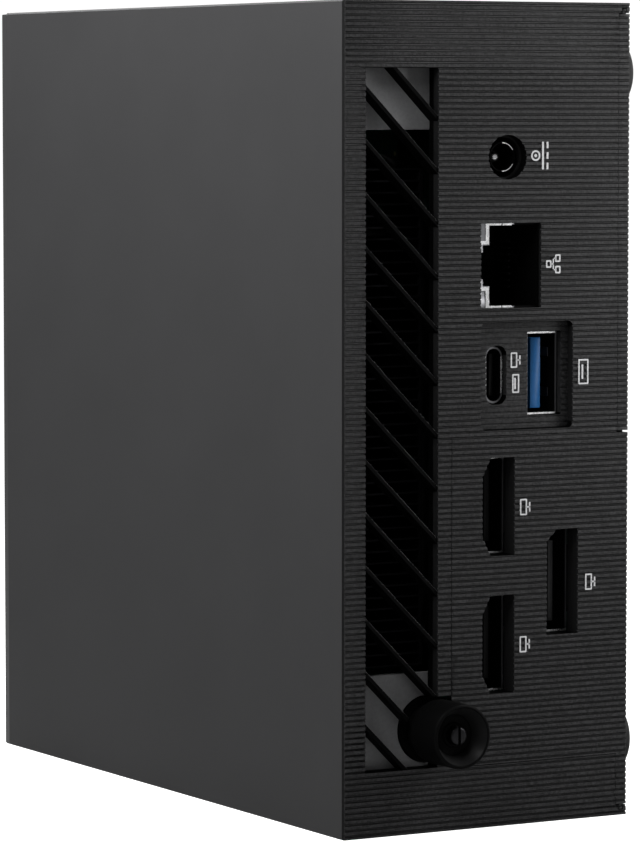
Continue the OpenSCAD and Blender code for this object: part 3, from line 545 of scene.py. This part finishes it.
def port_shell(node, name, facing, cuts=(), bright=lambda up: False, shade_from=None):
    """Socket shell: painted black shade inside, tin darkened as painted shade on the rim, and bright tin as a
    painted glint where bright(up) says.

    up is the height over the shell's middle, and cuts are the heights where the rim's paint changes.
    From shade_from, a distance u, on to the feet side the rim is painted black shade too.
    """
    obj = cad_copy(node, name)
    lo, hi = node_box(node)
    middle = (lo.z + hi.z) / 2
    mouth = hi.y if facing > 0 else lo.y
    bm = bmesh.new()
    bm.from_mesh(obj.data)
    planes = [((0, 0, (middle + up) * MM), (0, 0, 1)) for up in cuts]
    if shade_from is not None:
        planes.append((((HX - shade_from) * MM, 0, 0), (1, 0, 0)))
    for place, normal in planes:
        bmesh.ops.bisect_plane(bm, geom=bm.verts[:] + bm.edges[:] + bm.faces[:],
                               plane_co=place, plane_no=normal, dist=1e-7)
    bm.to_mesh(obj.data)
    bm.free()
    smooth(obj)
    piece(obj, "case", [OPENING_SHADE, PAINTED_SHADE_TIN, TIN], [node])

    # painted light: black shade inside, darkened tin on the rim, bright tin as a painted glint
    def rim(c, n):
        if n.y * facing < 0.5 or abs(c.y - mouth) > RIM_REACH or (shade_from and HX - c.x > shade_from):
            return 0
        return 2 if bright(c.z - middle) else 1

    paint_by(obj, rim)


# from the middle of each socket to where its rim turns bright with a painted glint, in millimetres
USB_A_END = 6.27
USB_C_STRAIGHT = 2.9
DISPLAY_END = 7.9
HDMI_HALF_LENGTH = 7.3
# u from which the rim of the network socket is painted black as shade
NETWORK_SHADE_FROM = 31.5
# the two video sockets share one node, and each reaches 7.65 mm from its own middle
HDMI_LO, HDMI_HI = node_box("hdmi_shells")
HDMI_HALF_SPACING = (HDMI_HI.z - HDMI_LO.z) / 2 - 7.65
HDMI_CUTS = [s * HDMI_HALF_SPACING + t * HDMI_HALF_LENGTH for s in (-1, 1) for t in (-1, 1)]


def hdmi_ends(up):
    """Whether a height over the middle of the pair is at an end of one of the two."""
    return abs(abs(up) - HDMI_HALF_SPACING) > HDMI_HALF_LENGTH


port_shell("rj45_shield", "network_shield", 1, shade_from=NETWORK_SHADE_FROM)
port_shell("rear_usb_a_shell", "rear_usb_a_can", 1, (-USB_A_END, USB_A_END), lambda up: abs(up) > USB_A_END)
port_shell("rear_usb_c_shell", "rear_usb_c_can", 1, (-USB_C_STRAIGHT, USB_C_STRAIGHT),
           lambda up: abs(up) < USB_C_STRAIGHT)
port_shell("hdmi_shells", "video_socket_cans", 1, HDMI_CUTS, hdmi_ends)
port_shell("displayport_shell", "display_socket_can", 1, (-DISPLAY_END,), lambda up: up < -DISPLAY_END)
port_shell("front_usb_a_shells", "front_usb_a_cans", -1, (), lambda up: True)
port_shell("front_usb_c_shell", "front_usb_c_can", -1, (), lambda up: True)


def network_lip():
    """Bent edge of the network socket's shield: a stepped strip and a short bar on each side of the latch, in
    bright tin as a painted highlight on the real edge.
    """
    lo, hi = node_box("rj45_insert")
    mid_v, thickness = UPPER - (lo.z + hi.z) / 2, 0.07
    mouth = node_box("rj45_shield")[1].y
    bm = bmesh.new()
    # outlines as (u, distance from the latch's middle)
    step = [(25.05, 2.1), (25.4, 2.1), (25.4, 3.35), (26.8, 3.35), (26.8, 6.3), (29.1, 6.3), (29.1, 6.62),
            (26.2, 6.62), (26.2, 3.9), (25.05, 3.9)]
    bar = [(29.3, 6.3), (30.9, 6.3), (31.3, 6.62), (29.3, 6.62)]
    for side in (-1, 1):
        for line in (step, bar):
            rear_plate(bm, [(u, mid_v + side * dv) for u, dv in line], mouth, mouth + thickness)
    return solid("network_lip", bm)


def power_spring():
    """Thin sleeve in the power socket, painted black as shade, with two stretches of its edge in bright tin
    as painted glints.
    """
    lo, hi = node_box("dc_jack_pin")
    x, z = (lo.x + hi.x) / 2, (lo.z + hi.z) / 2
    radius, wall, depth, inset = 2.15, 0.16, 4, 1.7
    profile = [(radius, -depth), (radius, 0), (radius + wall, 0), (radius + wall, -depth)]
    bm = bmesh.new()
    lathe(bm, profile, (x, BACK - inset, z), (0, 1, 0), loop=True)
    obj = solid("power_spring", bm)
    piece(obj, "case", [OPENING_SHADE, TIN])

    # painted light: the sleeve is black shade, with bright tin as painted glints on two arcs of its front
    # edge
    def glint_mask(c, n):
        turn = math.degrees(math.atan2(abs(c.z - z), x - c.x))
        return 1 if n.y > 0.5 and 28 < turn < 88 else 0

    paint_by(obj, glint_mask)


def spring_tabs():
    """Contact springs inside the data and screen sockets, two in each."""
    apart, length = 6.4, 1.4
    bm = bmesh.new()
    # tongue node, x from the tongue's middle to the springs, and how far they begin and end behind its tip
    for node, dx, y0, y1 in (("rear_usb_a_tongue", -2.5, 1.5, 4.0), ("displayport_tongue", 1.55, 1.2, 1.5)):
        lo, hi = node_box(node)
        mid, x = (lo.z + hi.z) / 2, (lo.x + hi.x) / 2 + dx
        for z in (mid - apart / 2, mid + apart / 2):
            box(bm, (x - 0.25, hi.y - y1, z - length / 2), (x + 0.05, hi.y - y0, z + length / 2))
    return solid("socket_springs", bm)


piece(network_lip(), "case", [TIN])
# the contact springs are tin darkened as painted shade
piece(round_edges(spring_tabs(), 0.04), "case", [PAINTED_SHADE_TIN])
power_spring()


# ---------------------------------------------------------------- thumbscrew

KNOB_LO, KNOB_HI = node_box("thumbscrew_knob")
SHANK_LO, SHANK_HI = node_box("thumbscrew_shank")
KNOB_R = (KNOB_HI.x - KNOB_LO.x) / 2
SHANK_R = (SHANK_HI.x - SHANK_LO.x) / 2
KNOB_AXIS = Vector(((KNOB_LO.x + KNOB_HI.x) / 2, 0, (KNOB_LO.z + KNOB_HI.z) / 2))
DISH_R = 4.5
DISH_FLOOR_R = 3.1
DISH_DEPTH = 3.0
THREAD_PITCH = 0.5
THREAD_DEPTH = 0.28
SLOT_WIDTH = 0.5
SLOT_DEPTH = 0.7


def arc(cx, cy, r, a0, a1, n=5):
    """Points of an arc, as (radius, along) pairs; angles in degrees."""
    return [(cx + r * math.cos(math.radians(a0 + (a1 - a0) * i / n)),
             cy + r * math.sin(math.radians(a0 + (a1 - a0) * i / n))) for i in range(n + 1)]


def knob():
    """Grip of the thumbscrew: a neck, a flare, a straight rim and a conical dish in its end."""
    y0, y1 = KNOB_LO.y, KNOB_HI.y
    floor_y = y1 - DISH_DEPTH
    profile = [(SHANK_R, y0)]
    # neck
    profile += arc(KNOB_R - 1.2, y0 + 0.3, 0.3, -90, 0, 3) + [(KNOB_R - 0.9, y0 + 2.0)]
    # flare and rim
    profile += [(KNOB_R - 0.05, y0 + 2.6)] + arc(KNOB_R - 0.25, y0 + 2.95, 0.25, -30, 0, 3)
    profile += arc(KNOB_R - 0.4, y1 - 0.4, 0.4, 0, 90, 6)
    # dish, and a small collar where the shank comes through its floor
    profile += [(DISH_R + 0.1, y1), (DISH_R, y1 - 0.1), (DISH_FLOOR_R + 0.15, floor_y + 0.3)]
    profile += [(DISH_FLOOR_R, floor_y + 0.08), (DISH_FLOOR_R - 0.2, floor_y), (SHANK_R + 0.5, floor_y)]
    profile += [(SHANK_R + 0.3, floor_y + 0.25), (SHANK_R, floor_y + 0.3)]
    bm = bmesh.new()
    lathe(bm, profile + [(SHANK_R, y0)], KNOB_AXIS, (0, 1, 0), 128)
    obj = smooth(solid("thumbscrew_grip", bm), 40)
    piece(obj, "thumbscrew", [KNOB, KNOB_DISH_HIGHLIGHT], ["thumbscrew_knob"])

    # painted highlight: the dish wall that faces the axis gets the lighter paint, all the way round
    def dish_wall(c, n):
        inward = n.dot((KNOB_AXIS - c) * Vector((1, 0, 1))) > 0
        return 1 if inward and c.y > floor_y + 0.3 and 0.2 < n.y < 0.6 else 0

    paint_by(obj, dish_wall)


def shank():
    """Stud of the thumbscrew: ridges for its thread, and a slot across its head."""
    y0, y1 = SHANK_LO.y, SHANK_HI.y
    # the thread ends this far before the knob
    thread_end = KNOB_LO.y - 3
    profile = [(0, y0), (SHANK_R - 0.5, y0)]
    y = y0 + 0.4
    while y < thread_end:
        profile += [(SHANK_R - THREAD_DEPTH, y)]
        profile += [(SHANK_R, y + THREAD_PITCH * 0.4), (SHANK_R, y + THREAD_PITCH * 0.55)]
        y += THREAD_PITCH
    profile += [(SHANK_R - THREAD_DEPTH, y), (SHANK_R - 0.02, y + 0.4)]
    profile += arc(SHANK_R - 0.5, y1 - 0.48, 0.48, 0, 90) + [(0, y1)]
    bm = bmesh.new()
    lathe(bm, profile, KNOB_AXIS, (0, 1, 0), 64)
    obj = solid("thumbscrew_stud", bm)
    slot, half = bmesh.new(), Vector((SLOT_WIDTH / 2, 0, 3))
    box(slot, KNOB_AXIS - half + Vector((0, y1 - SLOT_DEPTH, 0)), KNOB_AXIS + half + Vector((0, y1 + 1, 0)))
    carve(obj, solid("slot", slot))
    return smooth(obj, 40)


knob()
piece(shank(), "thumbscrew", [BLACK_STEEL], ["thumbscrew_shank"])


# ---------------------------------------------------------------- feet

FOOT_R = 6.0


def feet():
    """Four feet: a thin base with a groove round it, a rounded edge, and a shallow hollow in the tip."""
    lo, hi = node_box("rubber_feet")
    r, height = FOOT_R, hi.x - lo.x
    bm = bmesh.new()
    profile = [(0, height), (r, height), (r, height - 0.5), (r - 0.25, height - 0.7)]
    profile += [(r - 0.05, height - 0.95), (r - 0.2, 1.0)] + arc(r - 1.05, 0.85, 0.85, 0, -90, 8)
    profile += [(2.2, 0.0), (2.0, 0.25), (0, 0.3)]
    for y in (lo.y + r, hi.y - r):
        for z in (lo.z + r, hi.z - r):
            lathe(bm, profile, (lo.x, y, z), (1, 0, 0), 64)
    return smooth(solid("feet_rubber", bm), 50)


piece(feet(), "cover", [RUBBER], ["rubber_feet"])


# ---------------------------------------------------------------- printed marks on the rear face

# how far the print reaches into and out of its face, and the widths of its lines, in millimetres
INK_SUNK, INK_PROUD = 0.06, 0.02
FINE_LINE, LINE, STAND_LINE, TONGUE_LINE, CURRENT_LINE = 0.2, 0.24, 0.26, 0.3, 0.34


def stroke(bm, a, b, w, y):
    """Straight printed line from a to b on the rear layout."""
    d = Vector((b[0] - a[0], b[1] - a[1]))
    d.normalize()
    n = Vector((-d.y, d.x)) * (w / 2)
    e = d * (w / 2)
    line = [(a[0] - e.x + n.x, a[1] - e.y + n.y), (b[0] + e.x + n.x, b[1] + e.y + n.y),
            (b[0] + e.x - n.x, b[1] + e.y - n.y), (a[0] - e.x - n.x, a[1] - e.y - n.y)]
    rear_plate(bm, line, y - INK_SUNK, y + INK_PROUD)


def outline(bm, u0, v0, u1, v1, y):
    """Printed rectangle between two corners on the rear layout."""
    mid, size = ((u0 + u1) / 2, (v0 + v1) / 2), (abs(u1 - u0), abs(v1 - v0))
    rear_ring(bm, round_rect(mid, size[0], size[1], 0.15, 2),
              round_rect(mid, size[0] - 2 * LINE, size[1] - 2 * LINE, 0.05, 2), y - INK_SUNK, y + INK_PROUD)


def screen_mark(bm, u, v, size, y):
    """A monitor on its stand, turned like the other marks: its upper side faces the top cover."""
    outline(bm, u - size * 0.5, v - size * 0.72, u + size * 0.22, v + size * 0.72, y)
    stroke(bm, (u + size * 0.22, v), (u + size * 0.5, v), STAND_LINE, y)
    stroke(bm, (u + size * 0.5, v - size * 0.35), (u + size * 0.5, v + size * 0.35), STAND_LINE, y)


def port_mark(bm, u, v, w, h, y):
    """A socket outline with its tongue."""
    outline(bm, u - w / 2, v - h / 2, u + w / 2, v + h / 2, y)
    stroke(bm, (u - w * 0.1, v - h * 0.25), (u - w * 0.1, v + h * 0.25), TONGUE_LINE, y)


def marks():
    """Marks of the sockets in the case."""
    bm = bmesh.new()
    # direct current: a full bar over three dashes, and a plug seen end-on
    stroke(bm, (36.35, 22.1), (36.35, 26.1), CURRENT_LINE, BACK)
    for v in (22.1, 23.75, 25.4):
        stroke(bm, (37.2, v), (37.2, v + 0.7), CURRENT_LINE, BACK)
    plug, low, high = (35.0, 24.1), BACK - INK_SUNK, BACK + INK_PROUD
    rear_ring(bm, round_rect(plug, 1.7, 1.7, 0.84), round_rect(plug, 1.15, 1.15, 0.57), low, high)
    rear_plate(bm, round_rect(plug, 0.5, 0.5, 0.24, 4), low, high)
    # wired network: three boxes joined by lines
    outline(bm, 37.0, 40.6, 38.0, 41.8, BACK)
    outline(bm, 38.7, 39.7, 39.7, 40.9, BACK)
    outline(bm, 38.7, 41.5, 39.7, 42.7, BACK)
    stroke(bm, (38.0, 41.2), (38.35, 41.2), FINE_LINE, BACK)
    stroke(bm, (38.35, 40.3), (38.35, 42.1), FINE_LINE, BACK)
    for v in (40.3, 42.1):
        stroke(bm, (38.35, v), (38.7, v), FINE_LINE, BACK)
    # sockets: data and screen
    screen_mark(bm, 32.2, 56.3, 1.7, PLATE_Y)
    port_mark(bm, 32.3, 60.0, 1.3, 3.0, PLATE_Y)
    port_mark(bm, 44.1, 58.4, 1.9, 4.0, BACK)
    return bm


def cover_marks():
    """Marks of the three screen sockets, which are on the cover's tongue."""
    bm = bmesh.new()
    for v in (79.5, 101.3):
        screen_mark(bm, 33.2, v, 1.8, BACK)
    screen_mark(bm, 45.5, 92.0, 1.8, BACK)
    return bm


piece(solid("printed_marks", marks()), "case", [WHITE_INK])
piece(solid("cover_printed_marks", cover_marks()), "cover", [WHITE_INK])


# ---------------------------------------------------------------- stage, lights and camera

def direct_or_indirect(nodes, links, seen, lit, socket):
    """One strength where the eye sees the stage itself, and another for the light that it gives."""
    path = nodes.new("ShaderNodeLightPath")
    choose = nodes.new("ShaderNodeMapRange")
    choose.inputs["To Min"].default_value = lit
    choose.inputs["To Max"].default_value = seen
    links.new(path.outputs["Is Camera Ray"], choose.inputs["Value"])
    links.new(choose.outputs["Result"], socket)
    return choose


# half the floor's side, in millimetres
FLOOR_HALF = 3000
# strength of the floor and of the sky: as the camera sees them, and as light
FLOOR_SEEN, FLOOR_LIGHT = 1.0, 0.17
SKY_SEEN, SKY_LOW, SKY_HIGH = 1.05, 0.42, 0.22
# the sky's light changes from SKY_LOW to SKY_HIGH between these heights: 0 is the horizon and 1 overhead
SKY_FROM, SKY_TO = 0.12, 0.45
# watts
COVER_POWER, REAR_POWER, FILL_POWER = 1.32, 0.29, 1.2


def floor():
    """White floor that gives less light than its own brightness."""
    bm, n = bmesh.new(), FLOOR_HALF
    bm.faces.new([bm.verts.new(p) for p in ((-n, -n, 0), (n, -n, 0), (n, n, 0), (-n, n, 0))])
    obj = solid("floor", bm)
    p = Paint("floor_white", 0.8, 0.1)
    p.colour(p.ramp(p.noise(3, 2), [(0.3, (0.34, 0.34, 0.34)), (0.7, (0.36, 0.36, 0.36))]))
    p.bsdf.inputs["Emission Color"].default_value = (1, 1, 1, 1)
    direct_or_indirect(p.nodes, p.links, FLOOR_SEEN, FLOOR_LIGHT, p.bsdf.inputs["Emission Strength"])
    obj.data.materials.append(p.mat)


def lamp(name, place, aim, size, power):
    """Soft light from a rectangle that the camera doesn't see; metres and watts."""
    data = bpy.data.lights.new(name, "AREA")
    data.shape = "RECTANGLE"
    data.size, data.size_y = size
    data.energy = power
    obj = bpy.data.objects.new(name, data)
    obj.location = place
    obj.rotation_mode = "QUATERNION"
    obj.rotation_quaternion = (Vector(aim) - Vector(place)).to_track_quat("-Z", "Y")
    obj.visible_camera = False
    bpy.context.scene.collection.objects.link(obj)


def studio():
    """Pale surroundings and four soft lights."""
    world = bpy.data.worlds.new("studio")
    world.use_nodes = True
    nodes, links = world.node_tree.nodes, world.node_tree.links
    # the light is strongest near the horizon and dimmer overhead
    coords = nodes.new("ShaderNodeTexCoord")
    split = nodes.new("ShaderNodeSeparateXYZ")
    height = nodes.new("ShaderNodeMapRange")
    for socket, value in (("From Min", SKY_FROM), ("From Max", SKY_TO),
                          ("To Min", SKY_LOW), ("To Max", SKY_HIGH)):
        height.inputs[socket].default_value = value
    links.new(coords.outputs["Generated"], split.inputs["Vector"])
    links.new(split.outputs["Z"], height.inputs["Value"])
    choose = direct_or_indirect(nodes, links, SKY_SEEN, SKY_LOW, nodes["Background"].inputs["Strength"])
    links.new(height.outputs["Result"], choose.inputs["To Min"])
    nodes["Background"].inputs["Color"].default_value = (1, 1, 1, 1)
    bpy.context.scene.world = world
    lamp("top_cover_light", (0.16, 0.01, 0.225), (0.03, 0.0, 0.10), (0.34, 0.06), COVER_POWER)
    lamp("rear_light", (-0.12, 0.125, 0.11), (-0.015, 0.06, 0.08), (0.06, 0.12), REAR_POWER)
    lamp("feet_side_light", (-0.24, 0.0, 0.30), (-0.03, 0.0, 0.08), (0.3, 0.1), FILL_POWER)
    lamp("front_light", (0.0, -0.28, 0.30), (0.0, -0.06, 0.08), (0.1, 0.3), FILL_POWER)


# millimetres, metres and degrees
SENSOR, LENS = 36, 188.893
CAMERA_PLACE = (0.36451, 0.64801, 0.11400)
CAMERA_AZIMUTH, CAMERA_ELEVATION = 150.3685, 4.1029


def camera():
    """Long lens from behind, a little above the middle of the object."""
    data = bpy.data.cameras.new("camera")
    data.sensor_width = SENSOR
    data.lens = LENS
    data.clip_start, data.clip_end = 0.05, 20
    cam = bpy.data.objects.new("camera", data)
    azimuth, elevation = math.radians(CAMERA_AZIMUTH), math.radians(CAMERA_ELEVATION)
    away = Vector((math.sin(azimuth) * math.cos(elevation), -math.cos(azimuth) * math.cos(elevation),
                   math.sin(elevation)))
    cam.location = CAMERA_PLACE
    cam.rotation_mode = "QUATERNION"
    cam.rotation_quaternion = (-away).to_track_quat("-Z", "Y")
    bpy.context.scene.collection.objects.link(cam)
    bpy.context.scene.camera = cam


floor()
studio()
camera()
bpy.context.scene.view_settings.view_transform = "Standard"
